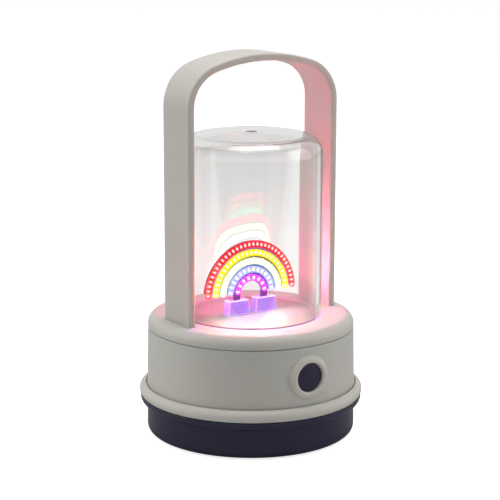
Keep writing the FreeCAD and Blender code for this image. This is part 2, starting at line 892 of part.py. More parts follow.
def bowed_leaf(root, reach, row):
    """Leaf spring: a bow of sheet that stands off the plate and touches the cell's flat end."""
    half = plate_height / 2
    sheet = plate_thickness * math.copysign(1, reach)

    def spot(along, up):
        return Vector(root + along, row - spring_width / 2, cell_axis + up)

    face = outline(spot(0, -half), (spot(reach, 0), spot(0, half)), spot(0, half - plate_thickness),
                   (spot(reach - sheet, 0), spot(0, plate_thickness - half)))
    return face.extrude(Vector(0, spring_width, 0))


def make_cells():
    """Dry cells, every second one turned end for end."""
    cells = []
    for i, row in enumerate(cell_rows):
        can_length = cell_length - cell_nub_length
        start = Vector(-cell_length / 2, row, cell_axis)
        can = rod(cell_radius, start, can_length, Vector(1, 0, 0))
        nub = rod(cell_nub_radius, start, cell_length, Vector(1, 0, 0))
        cell = joined([can, nub])
        if i % 2 == 1:
            cell = cell.mirror(ORIGIN, Vector(1, 0, 0))
        cells.append(cell)
    return Part.makeCompound(cells)


def lead(points):
    """Insulated wire: straight runs joined by tangent arcs as large as the runs allow."""
    edges = []
    here = points[0]
    for before, corner, after in zip(points, points[1:], points[2:]):
        back = before - corner
        ahead = after - corner
        reach = lead_bend_share * min(back.Length, ahead.Length)
        back.normalize()
        ahead.normalize()
        half_turn = (math.pi - back.getAngle(ahead)) / 2
        radius = reach / math.tan(half_turn)
        inward = (back + ahead).normalize()
        middle = corner + inward * (radius / math.cos(half_turn) - radius)
        edges.append(Part.makeLine(here, corner + back * reach))
        here = corner + ahead * reach
        edges.append(Part.Arc(corner + back * reach, middle, here).toShape())
    edges.append(Part.makeLine(here, points[-1]))
    path = Part.Wire(edges)
    ring = Part.Wire(Part.makeCircle(lead_radius, points[0], points[1] - points[0]))
    return path.makePipeShell([ring], True, False)


def make_battery_leads():
    """Leads from the two battery terminals to the back of the driver board."""
    height = tray_top + tab_height / 2
    board_entry = height + lead_climb
    inner = end_face - plate_thickness
    leads = []
    for side, row in terminals():
        turn_in = side * (inner - lead_straight)
        landing = side * lead_landing
        run_in = driver_back + lead_run_in
        leads.append(lead([Vector(side * inner, row, height), Vector(turn_in, row, height),
                           Vector(landing, run_in, board_entry), Vector(landing, driver_back, board_entry)]))
    return Part.makeCompound(leads)


def make_display_leads():
    """Leads from the driver board up to the tails of the socket contacts."""
    start_z = tray_top + board_height - lead_entry
    tail_y = board_thickness + contact_thickness / 2
    leads = []
    for side in (-1, 1):
        x = side * violet_radius
        leads.append(lead([Vector(x, driver_back, start_z), Vector(x, driver_back + lead_straight, start_z),
                           Vector(x, tail_y, start_z + lead_climb), Vector(x, tail_y, dome_foot)]))
    return Part.makeCompound(leads)


def make_cap_screws():
    seat = floor_under - cap_column_seat
    return Part.makeCompound([screw(around(angle, column_circle), seat, deck - cap_screw_tip)
                              for angle in cap_screw_angles])


def make_tray_screws():
    tip = tray_top + tray_screw_length - cap_screw_tip
    return Part.makeCompound([screw(around(angle, tray_circle), tray_under, tip)
                              for angle in tray_screw_angles])


nodes = {
    "base_cup": make_base_cup(),
    "rubber_feet": make_rubber_feet(),
    "housing": make_housing(),
    "top_cap": make_cap(),
    "handle": make_handle(),
    "dome": make_dome(),
    "display_floor": make_display_floor(),
    "rainbow_board": make_rainbow_board(),
    "violet_tube": make_tube(violet_radius),
    "blue_tube": make_tube(blue_radius),
    "green_tube": make_tube(green_radius),
    "yellow_tube": make_tube(yellow_radius),
    "red_tube": make_tube(red_radius),
    "led_chips": make_chips(),
    "left_socket": make_socket(-1),
    "right_socket": make_socket(1),
    "socket_contacts": make_socket_contacts(),
    "display_leads": make_display_leads(),
    "button_cap": make_button(),
    "switch_plunger": make_switch_plunger(),
    "switch_body": make_switch_body(),
    "driver_board": make_driver_board(),
    "board_parts": make_board_parts(),
    "battery_tray": make_battery_tray(),
    "battery_contacts": make_battery_contacts(),
    "dry_cells": make_cells(),
    "battery_leads": make_battery_leads(),
    "cap_screws": make_cap_screws(),
    "tray_screws": make_tray_screws(),
}

os.makedirs("parts", exist_ok=True)
for name, shape in nodes.items():
    state = "valid" if shape.isValid() else "not valid"
    print(name, len(shape.Solids), "solids", round(shape.Volume, 1), "mm3", state)
    shape.exportStep("parts/" + name + ".step")
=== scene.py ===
import bpy
import bmesh
import math
from mathutils import Matrix, Vector


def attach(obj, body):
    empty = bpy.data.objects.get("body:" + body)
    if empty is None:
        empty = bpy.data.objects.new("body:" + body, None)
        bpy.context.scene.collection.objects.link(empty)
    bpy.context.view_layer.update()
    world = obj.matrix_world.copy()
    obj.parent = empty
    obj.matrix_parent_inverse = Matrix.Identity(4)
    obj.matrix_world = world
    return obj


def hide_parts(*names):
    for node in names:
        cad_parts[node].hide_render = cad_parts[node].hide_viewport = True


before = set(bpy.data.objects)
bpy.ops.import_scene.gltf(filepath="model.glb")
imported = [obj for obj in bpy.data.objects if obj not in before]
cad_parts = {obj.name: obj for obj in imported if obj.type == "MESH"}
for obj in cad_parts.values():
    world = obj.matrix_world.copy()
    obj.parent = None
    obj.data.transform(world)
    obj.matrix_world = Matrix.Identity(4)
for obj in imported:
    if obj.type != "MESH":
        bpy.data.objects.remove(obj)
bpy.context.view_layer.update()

# Base cup: the dark twist-off bottom of the lantern, moulded in glossy plastic.
# A turned cup with a recessed underside, a rounded foot and a quarter-round lip
# that tucks under the drum's flange. It is held to the drum by a bayonet.
mm = 0.001


def start_ring(name, radius, height, sides=144):
    """Adds a ring of edges about the lamp's axis and opens it in edit mode, all selected."""
    bpy.ops.object.select_all(action="DESELECT")
    bpy.ops.mesh.primitive_circle_add(vertices=sides, radius=radius * mm, location=(0, 0, height * mm))
    piece = bpy.context.object
    piece.name = name
    bpy.ops.object.transform_apply(location=True, rotation=True, scale=True)
    bpy.ops.object.mode_set(mode="EDIT")
    bpy.ops.mesh.select_all(action="SELECT")
    return piece


def grow_ring(piece, *stations):
    """Extrudes the selected ring through (radius, height) stations, in millimetres."""
    for radius, height in stations:
        mesh = bmesh.from_edit_mesh(piece.data)
        here = next(vertex.co for vertex in mesh.verts if vertex.select)
        spread = radius * mm / here.xy.length
        rise = height * mm - here.z
        bpy.ops.mesh.extrude_edges_move(TRANSFORM_OT_translate={"value": (0, 0, rise)})
        bpy.ops.transform.resize(value=(spread, spread, 1), center_override=(0, 0, 0))


def arc(centre_radius, centre_height, size, start, end, steps):
    """Stations along an arc of a turned profile, by its centre, radius and angles in degrees."""
    turns = [math.radians(start + (end - start) * i / steps) for i in range(steps + 1)]
    return [(centre_radius + size * math.cos(turn), centre_height + size * math.sin(turn)) for turn in turns]


def pick(piece, kind, wanted):
    """Selects only the vertices, edges or faces whose points all pass a test."""
    bpy.ops.mesh.select_mode(type=kind)
    bpy.ops.mesh.select_all(action="DESELECT")
    mesh = bmesh.from_edit_mesh(piece.data)
    elements = {"VERT": mesh.verts, "EDGE": mesh.edges, "FACE": mesh.faces}[kind]
    for element in elements:
        points = [element] if kind == "VERT" else element.verts
        if all(wanted(point.co / mm) for point in points):
            element.select_set(True)
    mesh.select_flush_mode()
    bmesh.update_edit_mesh(piece.data)


def near_ring(radius, height, slack=0.02):
    """Test for the points of one ring of a turned piece."""
    return lambda point: abs(point.xy.length - radius) < slack and abs(point.z - height) < slack


def round_ring(piece, radius, height, size, segments=4):
    """Rounds the corner that a ring makes in a turned profile."""
    pick(piece, "EDGE", near_ring(radius, height))
    bpy.ops.mesh.bevel(offset=size * mm, segments=segments, affect="EDGES", clamp_overlap=False)


def close_mesh(piece, smooth=35):
    """Merges doubles, turns faces outwards and leaves edit mode with clean shading."""
    bpy.ops.mesh.select_all(action="SELECT")
    bpy.ops.mesh.remove_doubles(threshold=0.002 * mm)
    bpy.ops.mesh.normals_make_consistent(inside=False)
    bpy.ops.object.mode_set(mode="OBJECT")
    bpy.ops.object.shade_smooth_by_angle(angle=math.radians(smooth))
    weighted = piece.modifiers.new("even_shading", "WEIGHTED_NORMAL")
    weighted.keep_sharp = True
    bpy.ops.object.modifier_apply(modifier=weighted.name)


def place(piece, finish, body, slot, *nodes):
    """Gives a piece its finish, the body that it rides on and the nodes that it stands for."""
    piece.data.materials.clear()
    piece.data.materials.append(finish)
    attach(piece, body)
    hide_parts(*nodes)


def workings(material):
    """Nodes, links and surface of a material."""
    nodes = material.node_tree.nodes
    return nodes, material.node_tree.links, nodes["Principled BSDF"]


def new_finish(name):
    """Starts a material and returns it with its nodes, links and surface."""
    material = bpy.data.materials.new(name)
    material.use_nodes = True
    return material, *workings(material)


def on_piece(nodes):
    """The place on a piece, in its own coordinates."""
    return nodes.new("ShaderNodeTexCoord").outputs["Object"]


def mottled(nodes, links, place_on, scale, detail=2.0):
    """Soft random mottling of a given fineness."""
    noise = nodes.new("ShaderNodeTexNoise")
    noise.inputs["Scale"].default_value = scale
    noise.inputs["Detail"].default_value = detail
    links.new(place_on, noise.inputs["Vector"])
    return noise.outputs["Fac"]


def ranged(nodes, links, value, start=(0.0, 1.0), to=(0.0, 1.0)):
    """Maps a value from one range to another and holds it there."""
    ramp = nodes.new("ShaderNodeMapRange")
    for socket, level in zip(("From Min", "From Max", "To Min", "To Max"), (*start, *to)):
        ramp.inputs[socket].default_value = level
    links.new(value, ramp.inputs["Value"])
    return ramp.outputs["Result"]


def blend(nodes, links, factor, first, second, kind="RGBA"):
    """Mixes two colours or levels by a factor; each is given or comes from another node."""
    mix = nodes.new("ShaderNodeMix")
    mix.data_type = kind
    links.new(factor, mix.inputs["Factor"])
    for side, value in (("A", first), ("B", second)):
        if isinstance(value, tuple):
            mix.inputs[side].default_value = (*value, 1)
        elif isinstance(value, float):
            mix.inputs[side].default_value = value
        else:
            links.new(value, mix.inputs[side])
    return mix.outputs["Result"]


drift_scale = 38.0
drift_detail = 3.0
gloss_spread = 0.05
grain_height = 0.02


def moulded_plastic(name, colour, shade, roughness, grain, depth, specular=0.5):
    """Moulded plastic: faint colour drift, a fine grain from the tool and uneven gloss."""
    material, nodes, links, surface = new_finish(name)
    surface.inputs["Specular IOR Level"].default_value = specular
    place_on = on_piece(nodes)
    drift = mottled(nodes, links, place_on, drift_scale, drift_detail)
    speckle = mottled(nodes, links, place_on, grain)
    gloss = ranged(nodes, links, speckle, to=(roughness - gloss_spread, roughness + gloss_spread))
    bump = nodes.new("ShaderNodeBump")
    bump.inputs["Strength"].default_value = depth
    bump.inputs["Distance"].default_value = grain_height * mm
    links.new(speckle, bump.inputs["Height"])
    links.new(blend(nodes, links, drift, shade, colour), surface.inputs["Base Color"])
    links.new(gloss, surface.inputs["Roughness"])
    links.new(bump.outputs["Normal"], surface.inputs["Normal"])
    return material


dark_plastic = moulded_plastic("dark_plastic", (0.029, 0.028, 0.058), (0.026, 0.025, 0.052),
                               0.30, 2600.0, 0.10, 0.22)

base_foot = 0.5
base_top = 17.1
base_wall = 45.5
lip_radius = 48.5
lip_under = 13.4
cup_inner = 43.1
recess_radius = 33.5
recess_height = 1.5
cup_floor = 3.9
base_round = 3.0
lip_round = 2.98
lip_soft = 0.25
recess_soft = 0.3

cup = start_ring("base_cup_shell", recess_radius, recess_height)
bpy.ops.mesh.edge_face_add()
pick(cup, "EDGE", near_ring(recess_radius, recess_height))
grow_ring(cup, (recess_radius, base_foot), (base_wall, base_foot), (base_wall, lip_under), (lip_radius, lip_under),
          (lip_radius, base_top), (cup_inner, base_top), (cup_inner, cup_floor))
bpy.ops.mesh.edge_face_add()
round_ring(cup, base_wall, base_foot, base_round, 8)
round_ring(cup, lip_radius, lip_under, lip_round, 8)
round_ring(cup, lip_radius, base_top, lip_soft, 3)
round_ring(cup, cup_inner, base_top, lip_soft, 3)
round_ring(cup, recess_radius, base_foot, recess_soft, 3)
close_mesh(cup)
place(cup, dark_plastic, "base", "dark_plastic", "base_cup")

# Rubber feet: four soft round pads pressed into pockets under the base.
# Black moulded rubber with a softened rim, so the lamp doesn't slide.
foot_circle = 38.0
foot_radius = 3.4
foot_height = 1.4
foot_soft = 0.3
first_foot = 45

foot_rubber = moulded_plastic("foot_rubber", (0.022, 0.022, 0.024), (0.016, 0.016, 0.018), 0.75, 1800.0, 0.25)

pads = []
for quarter in range(4):
    turn = math.radians(first_foot + 90 * quarter)
    spot = (foot_circle * mm * math.cos(turn), foot_circle * mm * math.sin(turn), foot_height / 2 * mm)
    bpy.ops.object.select_all(action="DESELECT")
    bpy.ops.mesh.primitive_cylinder_add(vertices=40, radius=foot_radius * mm, depth=foot_height * mm, location=spot)
    pad = bpy.context.object
    bpy.ops.object.transform_apply(location=True, rotation=True, scale=True)
    bpy.ops.object.mode_set(mode="EDIT")
    pick(pad, "EDGE", lambda point: point.z < 0.01)
    bpy.ops.mesh.bevel(offset=foot_soft * mm, segments=3, affect="EDGES")
    bpy.ops.object.mode_set(mode="OBJECT")
    pads.append(pad)


def join_all(pieces, name):
    """Joins pieces into the first of them and names it."""
    bpy.ops.object.select_all(action="DESELECT")
    for piece in pieces:
        piece.select_set(True)
    bpy.context.view_layer.objects.active = pieces[0]
    bpy.ops.object.transform_apply(location=True, rotation=True, scale=True)
    bpy.ops.object.join()
    pieces[0].name = name
    return pieces[0]


feet = join_all(pads, "rubber_pads")
bpy.ops.object.mode_set(mode="EDIT")
close_mesh(feet)
place(feet, foot_rubber, "base", "foot_rubber", "rubber_feet")

# Battery tray and electrics: the tray, cells, contacts, leads, boards, switch and screws
# inside the drum. They stay as the frame holds them and take their real finishes:
# black moulding, plated sheet, printed board, plain cell jackets and coloured wire.
streak_scale = 900.0
streak_stretch = (1, 1, 12)
streak_spread = 0.08


def finish_nodes(material, *names):
    """Puts a finish on nodes that keep their own shape."""
    for name in names:
        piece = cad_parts[name]
        piece.data.materials.clear()
        piece.data.materials.append(material)


def plated_metal(name, colour, roughness):
    """Plated sheet or screw steel with fine drawn streaks."""
    material, nodes, links, surface = new_finish(name)
    surface.inputs["Metallic"].default_value = 1.0
    surface.inputs["Base Color"].default_value = (*colour, 1)
    stretch = nodes.new("ShaderNodeMapping")
    stretch.inputs["Scale"].default_value = streak_stretch
    links.new(on_piece(nodes), stretch.inputs["Vector"])
    streaks = mottled(nodes, links, stretch.outputs["Vector"], streak_scale)
    gloss = ranged(nodes, links, streaks, to=(roughness - streak_spread, roughness + streak_spread))
    links.new(gloss, surface.inputs["Roughness"])
    return material


black_moulding = moulded_plastic("black_moulding", (0.030, 0.030, 0.032), (0.024, 0.024, 0.026), 0.45, 2400.0, 0.2)
contact_plate = plated_metal("contact_plate", (0.66, 0.63, 0.55), 0.30)
screw_steel = plated_metal("screw_steel", (0.58, 0.58, 0.60), 0.35)
cell_jacket = moulded_plastic("cell_jacket", (0.10, 0.12, 0.17), (0.08, 0.10, 0.14), 0.30, 700.0, 0.05)
wire_sleeve = moulded_plastic("wire_sleeve", (0.42, 0.03, 0.03), (0.34, 0.02, 0.02), 0.45, 1500.0, 0.1)
driver_mask = moulded_plastic("driver_mask", (0.03, 0.17, 0.07), (0.02, 0.14, 0.05), 0.35, 500.0, 0.15)

finish_nodes(black_moulding, "battery_tray", "switch_body", "switch_plunger", "board_parts")
finish_nodes(contact_plate, "battery_contacts", "socket_contacts")
finish_nodes(screw_steel, "tray_screws", "cap_screws")
finish_nodes(wire_sleeve, "battery_leads", "display_leads")
finish_nodes(cell_jacket, "dry_cells")
finish_nodes(driver_mask, "driver_board")

# Housing: the cream drum, one moulding with a half-round flange bead at its foot,
# a narrow crevice above the bead, a slightly tapered wall, a spigot for the base
# and a soft raised ring round the button hole.
cream_plastic = moulded_plastic("cream_plastic", (0.565, 0.550, 0.505), (0.545, 0.530, 0.486), 0.48, 2200.0, 0.16)
cream_surface = workings(cream_plastic)[2]
cream_surface.inputs["Subsurface Weight"].default_value = 0.50
cream_surface.inputs["Subsurface Radius"].default_value = (1.0, 0.50, 0.50)
cream_surface.inputs["Subsurface Scale"].default_value = 5.0 * mm

spigot_inner = 40.6
spigot_outer = 42.6
spigot_bottom = 8.8
flange_under = 17.4
bead_centre = 46.0
bead_height = 19.35
bead_radius = 2.9
bead_start = -42.25
bead_end = 85.05
crevice_radius = 46.25
crevice_floor = 21.05
crevice_soft = 0.2
wall_foot = 45.55
wall_top_radius = 45.0
wall_top = 47.25
wall_soft = 0.3
rabbet_radius = 43.9
rabbet_ledge = 43.85
wall_inner = 42.8
tray_seat = 24.5
tray_under = 22.5
button_height = 34.225
hole_radius = 6.3
outer_start = 22.7
outer_rise = 23.1
outer_steps = 20
inner_start = 42.9
inner_drop = 17.4
inner_steps = 9


def wall_radius(height):
    """Radius of the tapered outer wall at a height."""
    share = (height - crevice_floor) / (wall_top - crevice_floor)
    return wall_foot + (wall_top_radius - wall_foot) * share


def from_button(point):
    """Distance of a point from the button's axis."""
    return math.hypot(point.x, point.z - button_height)


outer_levels = [outer_start + outer_rise * i / outer_steps for i in range(outer_steps + 1)]
inner_levels = [inner_start - inner_drop * i / inner_steps for i in range(inner_steps + 1)]

housing = start_ring("housing_shell", spigot_inner, spigot_bottom, 200)
grow_ring(housing, (spigot_outer, spigot_bottom), (spigot_outer, flange_under),
          *arc(bead_centre, bead_height, bead_radius, bead_start, bead_end, 20),
          (crevice_radius, crevice_floor), (wall_foot, crevice_floor),
          *[(wall_radius(level), level) for level in outer_levels],
          (wall_top_radius, wall_top), (rabbet_radius, wall_top), (rabbet_radius, rabbet_ledge),
          (wall_inner, rabbet_ledge), *[(wall_inner, level) for level in inner_levels],
          (wall_inner, tray_seat), (spigot_inner, tray_under), (spigot_inner, spigot_bottom))
bpy.ops.mesh.select_all(action="SELECT")
bpy.ops.mesh.remove_doubles(threshold=0.002 * mm)
round_ring(housing, wall_top_radius, wall_top, wall_soft, 3)
round_ring(housing, crevice_radius, bead_height + bead_radius * math.sin(math.radians(bead_end)), crevice_soft, 3)

ring_crest = -46.42
crest_radius = 7.2
rim_round = 0.9
side_round = 2.25
skirt_slope = 4
foot_blend = 1.1
patch_radius = 10.2
patch_radii = [patch_radius, 9.95, 9.7, 9.5, 9.35, 9.2, 9.0, 8.75, 8.4, 8.0, 7.6, crest_radius,
               6.9, 6.65, 6.47, 6.35, hole_radius]
outer_margin = 1.9
inner_margin = 2.6
hole_front = -44.5
hole_depth = 2


def ring_depth(point):
    """Depth of the raised ring's surface, blended into the drum at its foot."""
    reach = from_button(point)
    if reach < crest_radius:
        return ring_crest + rim_round - math.sqrt(max(rim_round ** 2 - (crest_radius - reach) ** 2, 0))
    drum = -math.sqrt(wall_radius(point.z) ** 2 - point.x ** 2)
    out = min(reach - crest_radius, side_round)
    skirt = skirt_slope * (reach - crest_radius - out)
    ring = ring_crest + side_round - math.sqrt(side_round ** 2 - out ** 2) + skirt
    share = min(max(0.5 + 0.5 * (drum - ring) / foot_blend, 0), 1)
    return drum + (ring - drum) * share - foot_blend * share * (1 - share)


def open_edges(piece):
    """Selects the edges that border a hole."""
    bpy.ops.mesh.select_mode(type="EDGE")
    bpy.ops.mesh.select_all(action="DESELECT")
    mesh = bmesh.from_edit_mesh(piece.data)
    for edge in mesh.edges:
        edge.select_set(len(edge.link_faces) == 1)
    bmesh.update_edit_mesh(piece.data)


def is_outer_skin(point):
    """Test for the drum's outside where the raised ring goes."""
    outside = point.xy.length > wall_top_radius - 0.5
    return point.y < 0 and outside and from_button(point) < patch_radius + outer_margin


def is_inner_skin(point):
    """Test for the drum's inside where the button's hole opens."""
    inside = abs(point.xy.length - wall_inner) < 0.1
    return point.y < 0 and inside and from_button(point) < hole_radius + inner_margin


pick(housing, "FACE", is_outer_skin)
bpy.ops.mesh.delete(type="FACE")
bpy.ops.mesh.select_all(action="DESELECT")
bpy.ops.mesh.primitive_circle_add(vertices=120, radius=patch_radius * mm, rotation=(math.pi / 2, 0, 0),
                                  location=(0, ring_crest * mm, button_height * mm))
for before, after in zip(patch_radii, patch_radii[1:]):
    bpy.ops.mesh.extrude_edges_move(TRANSFORM_OT_translate={"value": (0, 0, 0)})
    bpy.ops.transform.resize(value=(after / before, 1, after / before), center_override=(0, 0, button_height * mm))
mesh = bmesh.from_edit_mesh(housing.data)
for vertex in mesh.verts:
    point = vertex.co / mm
    if abs(point.y - ring_crest) < 0.001 and from_button(point) < patch_radius + 0.01:
        vertex.co.y = ring_depth(point) * mm
bmesh.update_edit_mesh(housing.data)
pick(housing, "EDGE", lambda point: point.y < hole_front and abs(from_button(point) - hole_radius) < 0.01)
bpy.ops.mesh.extrude_edges_move(TRANSFORM_OT_translate={"value": (0, hole_depth * mm, 0)})
mesh = bmesh.from_edit_mesh(housing.data)
for vertex in mesh.verts:
    if vertex.select:
        vertex.co.y = -math.sqrt((wall_inner * mm) ** 2 - vertex.co.x ** 2)
bmesh.update_edit_mesh(housing.data)

open_edges(housing)
mesh = bmesh.from_edit_mesh(housing.data)
for edge in mesh.edges:
    if edge.select and max(from_button(vertex.co / mm) for vertex in edge.verts) < patch_radius - 1:
        edge.select_set(False)
bmesh.update_edit_mesh(housing.data)
bpy.ops.mesh.bridge_edge_loops()
pick(housing, "FACE", is_inner_skin)
bpy.ops.mesh.delete(type="FACE")
open_edges(housing)
bpy.ops.mesh.bridge_edge_loops()
close_mesh(housing)
place(housing, cream_plastic, "lamp", "cream_plastic", "housing")

# Push button: a crowned disc of the same dark plastic, sunk a little below the ring.
# A flange behind the wall keeps it in, and its stem meets the switch's plunger.
button_radius = 6.15
button_face = -45.62
button_crown = 0.5
button_soft = 0.4
tip_radius = 0.4
tip_height = button_face + 0.002
crown_radii = (1.0, 1.8, 2.6, 3.4, 4.2, 4.9, 5.5)
retainer_radius = 7.35
retainer_front = -41.87
retainer_back = -40.67
stem_radius = 2.0
stem_end = -36.4

button = start_ring("push_button", tip_radius, tip_height, 72)
bpy.ops.mesh.edge_face_add()
pick(button, "EDGE", near_ring(tip_radius, tip_height))
crown_rings = [(radius, button_face + button_crown * (radius / button_radius) ** 2) for radius in crown_radii]
grow_ring(button, *crown_rings, (button_radius, button_face + button_crown),
          (button_radius, retainer_front), (retainer_radius, retainer_front), (retainer_radius, retainer_back),
          (stem_radius, retainer_back), (stem_radius, stem_end))
bpy.ops.mesh.edge_face_add()
round_ring(button, button_radius, button_face + button_crown, button_soft, 5)
close_mesh(button)
button.rotation_euler = (-math.pi / 2, 0, 0)
button.location = (0, 0, button_height * mm)
bpy.ops.object.transform_apply(location=True, rotation=True, scale=True)
place(button, dark_plastic, "button", "dark_plastic", "button_cap")

# Display floor: a mauve-grey moulded top hat that fills the dome from below.
# Its brim clamps the dome's flange and is notched for the handle's legs, and the
# sockets stand on its top.
deck = 52.9
floor_radius = 28.4
floor_soft = 0.25
brim_radius = 40.4
brim_top = 48.9
brim_under = 46.9
floor_inner = 26.4
floor_ceiling = 50.5
notch_end = 45.0

display_floor = start_ring("display_floor_top", floor_radius, deck)
bpy.ops.mesh.edge_face_add()
pick(display_floor, "EDGE", near_ring(floor_radius, deck))
grow_ring(display_floor, (floor_radius, brim_top), (brim_radius, brim_top), (brim_radius, brim_under),
          (floor_inner, brim_under), (floor_inner, floor_ceiling))
bpy.ops.mesh.edge_face_add()
round_ring(display_floor, floor_radius, deck, floor_soft, 3)
close_mesh(display_floor)


def box_between(low, high):
    """A block between two corners, in millimetres, to shape or to cut with."""
    bpy.ops.object.select_all(action="DESELECT")
    middle = [(a + b) / 2 * mm for a, b in zip(low, high)]
    bpy.ops.mesh.primitive_cube_add(size=1, location=middle)
    block = bpy.context.object
    block.scale = [(b - a) * mm for a, b in zip(low, high)]
    bpy.ops.object.transform_apply(location=True, rotation=True, scale=True)
    return block


def cut_away(piece, cutter):
    """Cuts one piece by another and removes the cutter."""
    cut = piece.modifiers.new("cut", "BOOLEAN")
    cut.operation = "DIFFERENCE"
    cut.solver = "EXACT"
    cut.object = cutter
    bpy.ops.object.select_all(action="DESELECT")
    piece.select_set(True)
    bpy.context.view_layer.objects.active = piece
    bpy.ops.object.modifier_apply(modifier=cut.name)
    bpy.data.objects.remove(cutter)


strap_inner = 34.4
strap_outer = 37.6
strap_half_width = 10.5
slot_gap = 0.15


def cut_leg_slots(piece, end, low, high):
    """Cuts the two openings for the handle's legs, out to a distance from the axis."""
    half = strap_half_width + slot_gap
    for side in (-1, 1):
        near, far = sorted((side * (strap_inner - slot_gap), side * end))
        cut_away(piece, box_between((near, -half, low), (far, half, high)))


cut_leg_slots(display_floor, notch_end, brim_under - 1, brim_top + 0.5)
floor_plastic = moulded_plastic("floor_plastic", (0.29, 0.265, 0.285), (0.275, 0.25, 0.27), 0.50, 1800.0, 0.10, 0.9)
place(display_floor, floor_plastic, "lamp", "floor_plastic", "display_floor")

# Sockets: two clear moulded blocks, tapered and slotted, that take the board's legs.
# They are pegged to the floor. The rainbow's light in them is a painted violet glow, brighter
# on their bevelled edges as a painted highlight, and broken up by the flow lines of the moulding.
socket_spread = 7.0
socket_foot_width = 11.1
socket_top_width = 9.7
socket_top = 59.15
socket_front = -1.75
socket_back = 2.75
socket_round = 0.35
leg_foot = 53.9
leg_slot_half = 1.75
leg_slot_front = -0.2
leg_slot_back = 1.6
flat_side = 0.97
swirl_scale = 60.0
clear_shadow = 0.1


def reckon(nodes, links, operation, *terms, clamp=False):
    """Works out a sum of levels, each given or from another node."""
    step = nodes.new("ShaderNodeMath")
    step.operation = operation
    step.use_clamp = clamp
    for term, socket in zip(terms, step.inputs):
        if isinstance(term, float):
            socket.default_value = term
        else:
            links.new(term, socket)
    return step.outputs["Value"]


def clear_plastic(name, colour, roughness, refraction, clearness):
    """Clear moulded plastic that lets light through to what stands behind it."""
    material, nodes, links, surface = new_finish(name)
    surface.inputs["Base Color"].default_value = (*colour, 1)
    surface.inputs["Transmission Weight"].default_value = clearness
    surface.inputs["IOR"].default_value = refraction
    swirl = mottled(nodes, links, on_piece(nodes), swirl_scale)
    gloss = ranged(nodes, links, swirl, to=(roughness * 0.5, roughness * 1.5))
    ray = nodes.new("ShaderNodeLightPath").outputs
    shading = reckon(nodes, links, "MAXIMUM", ray["Is Shadow Ray"], ray["Is Diffuse Ray"])
    links.new(gloss, surface.inputs["Roughness"])
    links.new(ranged(nodes, links, shading, to=(1.0, clear_shadow)), surface.inputs["Alpha"])
    return material


socket_plastic = clear_plastic("socket_plastic", (0.50, 0.34, 0.95), 0.22, 1.46, 0.35)
nodes, links, surface = workings(socket_plastic)
place_on = on_piece(nodes)
# Painted light: a violet glow over the whole block, with a painted highlight on the bevelled edge faces.
painted_edge_glow = nodes.new("ShaderNodeAttribute")
painted_edge_glow.attribute_name = "painted_edge_glow"
flow_lines = nodes.new("ShaderNodeTexWave")
flow_lines.bands_direction = "Z"
flow_lines.inputs["Scale"].default_value = 280.0
flow_lines.inputs["Distortion"].default_value = 0.6
links.new(place_on, flow_lines.inputs["Vector"])
painted_edge_level = ranged(nodes, links, painted_edge_glow.outputs["Fac"], to=(0.28, 1.2))
flow_level = ranged(nodes, links, flow_lines.outputs["Fac"], to=(0.65, 1.25))
flow_split = ranged(nodes, links, mottled(nodes, links, place_on, 330.0), (0.40, 0.60))
painted_glow_tint = blend(nodes, links, flow_split, (0.70, 0.12, 1.0), (0.48, 0.38, 1.0))
links.new(painted_glow_tint, surface.inputs["Emission Color"])
links.new(reckon(nodes, links, "MULTIPLY", painted_edge_level, flow_level), surface.inputs["Emission Strength"])

for side, node in ((-1, "left_socket"), (1, "right_socket")):
    centre = side * socket_spread
    block = box_between((centre - socket_foot_width / 2, socket_front, deck),
                        (centre + socket_foot_width / 2, socket_back, socket_top))
    block.name = node + "_block"
    bpy.ops.object.mode_set(mode="EDIT")
    pick(block, "FACE", lambda point: point.z > socket_top - 0.01)
    bpy.ops.transform.resize(value=(socket_top_width / socket_foot_width, 1, 1), center_override=(centre * mm, 0, 0))
    pick(block, "EDGE", lambda point: True)
    bpy.ops.mesh.bevel(offset=socket_round * mm, segments=3, affect="EDGES")
    bpy.ops.object.mode_set(mode="OBJECT")
    cut_away(block, box_between((centre - leg_slot_half, leg_slot_front, leg_foot),
                                (centre + leg_slot_half, leg_slot_back, socket_top + 1)))
    bpy.ops.object.mode_set(mode="EDIT")
    close_mesh(block)
    # Marks the bevel faces that take the painted edge highlight.
    painted_edge_faces = block.data.attributes.new("painted_edge_glow", "FLOAT", "FACE")
    for face, light in zip(block.data.polygons, painted_edge_faces.data):
        light.value = 1.0 if max(abs(share) for share in face.normal) < flat_side else 0.0
    place(block, socket_plastic, "lamp", "socket_plastic", node)

# Rainbow board: the half-ring circuit board that carries the light rows.
# Thin laminate with a dark mask, routed to shape, with two legs plugged into the sockets.
# The board's own glow is painted light: on the gaps between the rows in front, on its legs and on its back.
arc_height = 61.35
board_inner = 5.45
leg_outer = 8.55
board_outer = 23.35
board_thickness = 1.0
board_lift = 0.7
end_rise = 0.6
board_width = board_outer - board_inner
gap_width = 1.0 / board_width
band_step = 3.7 / board_width
first_gap = 2.9 / board_width
unlit = (0, 0, 0)
# Painted light on the board: the rows' colours as bands on its back, lit gaps in front, a violet glow on the legs
# and a pink-violet light thrown behind.
painted_back_bands = ((0.75, 0.50, 1.0), (0.60, 0.60, 1.0), (0.85, 1.0, 0.70), (1.0, 1.0, 0.45), (1.0, 0.01, 0.01))
painted_gap_lights = ((0.10, 0.03, 0.55), (0.08, 0.13, 0.42), (0.20, 0.13, 0.05), (0.24, 0.12, 0.36))
painted_leg_glow = (0.30, 0.05, 0.34)
painted_back_cast = (3.8, 0.02, 0.90)


def along(nodes, links, place_on):
    """The three coordinates of a place."""
    split = nodes.new("ShaderNodeSeparateXYZ")
    links.new(place_on, split.inputs["Vector"])
    return split.outputs


